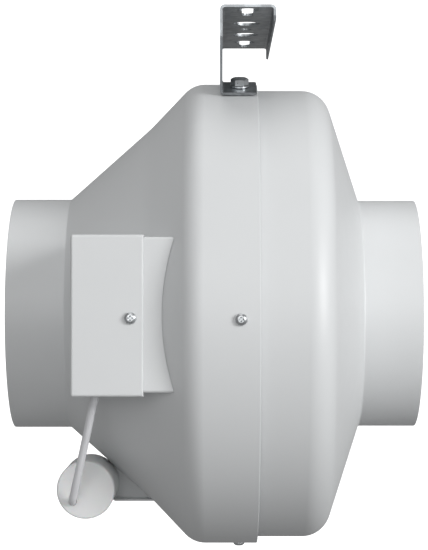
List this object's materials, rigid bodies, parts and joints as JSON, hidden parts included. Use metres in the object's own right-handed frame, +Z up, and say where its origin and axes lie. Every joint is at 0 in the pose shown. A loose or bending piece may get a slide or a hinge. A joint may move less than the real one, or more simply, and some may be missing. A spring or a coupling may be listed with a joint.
{
  "type": "inline duct fan",
  "caption": "Inline duct fan: two-piece flared sheet-steel casing with spigots, external-rotor impeller, terminal box, capacitor and ceiling bracket.",
  "frame": {"origin": "on the bracket's ceiling face, straight above the fan's axis in the plane of the casing joint; the fan's axis runs along X at Z = -0.1891 m", "axes": "+Z up, out of the ceiling face; +X along the fan's axis against the air stream, out of the inlet spigot; -Y towards the terminal box"},
  "size_m": [0.2617, 0.3058, 0.342],
  "materials": {
    "powder_coat": "semi-gloss light grey-white polyester powder coat",
    "capacitor_plastic": "smooth moulded white plastic",
    "terminal_plastic": "natural white moulded polyamide",
    "cable_sheath": "white PVC sheath",
    "rubber": "moulded black rubber",
    "zinc_fasteners": "bright zinc plate",
    "galvanised_sheet": "galvanised sheet steel",
    "cast_aluminium": "as-cast and turned",
    "bearing_steel": "ground and polished steel",
    "laminations": "stacked electrical steel",
    "copper_winding": "enamelled copper wire"
  },
  "bodies": {
    "casing": {"outlet_shell": "powder_coat", "inlet_shell": "powder_coat", "inlet_nozzle": "galvanised_sheet", "casing_screw_front": "zinc_fasteners", "casing_screw_bottom": "zinc_fasteners", "casing_screw_back": "zinc_fasteners", "hanging_bracket": "galvanised_sheet", "bracket_washer_front": "zinc_fasteners", "bracket_bolt_front": "zinc_fasteners", "bracket_nut_front": "zinc_fasteners", "bracket_washer_back": "zinc_fasteners", "bracket_bolt_back": "zinc_fasteners", "bracket_nut_back": "zinc_fasteners", "terminal_box_base": "powder_coat", "terminal_box_cover": "powder_coat", "cover_screw": "zinc_fasteners", "terminal_block": "terminal_plastic", "supply_grommet": "rubber", "lead_grommet": "rubber", "motor_cable_grommet": "rubber", "earth_screw": "zinc_fasteners", "capacitor_tab": "powder_coat", "capacitor_lead": "cable_sheath", "capacitor_body": "capacitor_plastic", "capacitor_lid": "capacitor_plastic", "capacitor_washer": "zinc_fasteners", "capacitor_nut": "zinc_fasteners", "motor_support": "galvanised_sheet", "stator_flange": "cast_aluminium", "motor_screw_1": "zinc_fasteners", "motor_screw_2": "zinc_fasteners", "motor_screw_3": "zinc_fasteners", "motor_screw_4": "zinc_fasteners", "stator_core": "laminations", "winding_outlet_side": "copper_winding", "winding_inlet_side": "copper_winding", "bearing_outer_ring_outlet": "bearing_steel", "bearing_outer_ring_inlet": "bearing_steel", "motor_cable": "cable_sheath"},
    "rotor": {"rotor_cup": "cast_aluminium", "rotor_laminations": "laminations", "shaft": "bearing_steel", "bearing_inner_ring_outlet": "bearing_steel", "bearing_inner_ring_inlet": "bearing_steel", "impeller_back_plate": "galvanised_sheet", "impeller_shroud": "galvanised_sheet", "impeller_blade_1": "galvanised_sheet", "impeller_blade_2": "galvanised_sheet", "impeller_blade_3": "galvanised_sheet", "impeller_blade_4": "galvanised_sheet", "impeller_blade_5": "galvanised_sheet", "impeller_blade_6": "galvanised_sheet", "impeller_blade_7": "galvanised_sheet", "impeller_rivet_1": "zinc_fasteners", "impeller_rivet_2": "zinc_fasteners", "impeller_rivet_3": "zinc_fasteners", "impeller_rivet_4": "zinc_fasteners"},
    "outlet_ball_cage": {"ball_cage_outlet": "bearing_steel"},
    "inlet_ball_cage": {"ball_cage_inlet": "bearing_steel"}
  },
  "joints": [
    {"name": "rotor_spin", "type": "hinge", "parent": "casing", "child": "rotor", "pos_m": [0, 0, -0.1891], "axis": [1, 0, 0], "continuous": true},
    {"name": "outlet_ball_cage_spin", "type": "hinge", "parent": "casing", "child": "outlet_ball_cage", "pos_m": [0, 0, -0.1891], "axis": [1, 0, 0], "continuous": true},
    {"name": "inlet_ball_cage_spin", "type": "hinge", "parent": "casing", "child": "inlet_ball_cage", "pos_m": [0, 0, -0.1891], "axis": [1, 0, 0], "continuous": true}
  ],
  "couplings": [
    {"joint": "outlet_ball_cage_spin", "follows": "rotor_spin", "ratio": 0.37},
    {"joint": "inlet_ball_cage_spin", "follows": "rotor_spin", "ratio": 0.37}
  ]
}
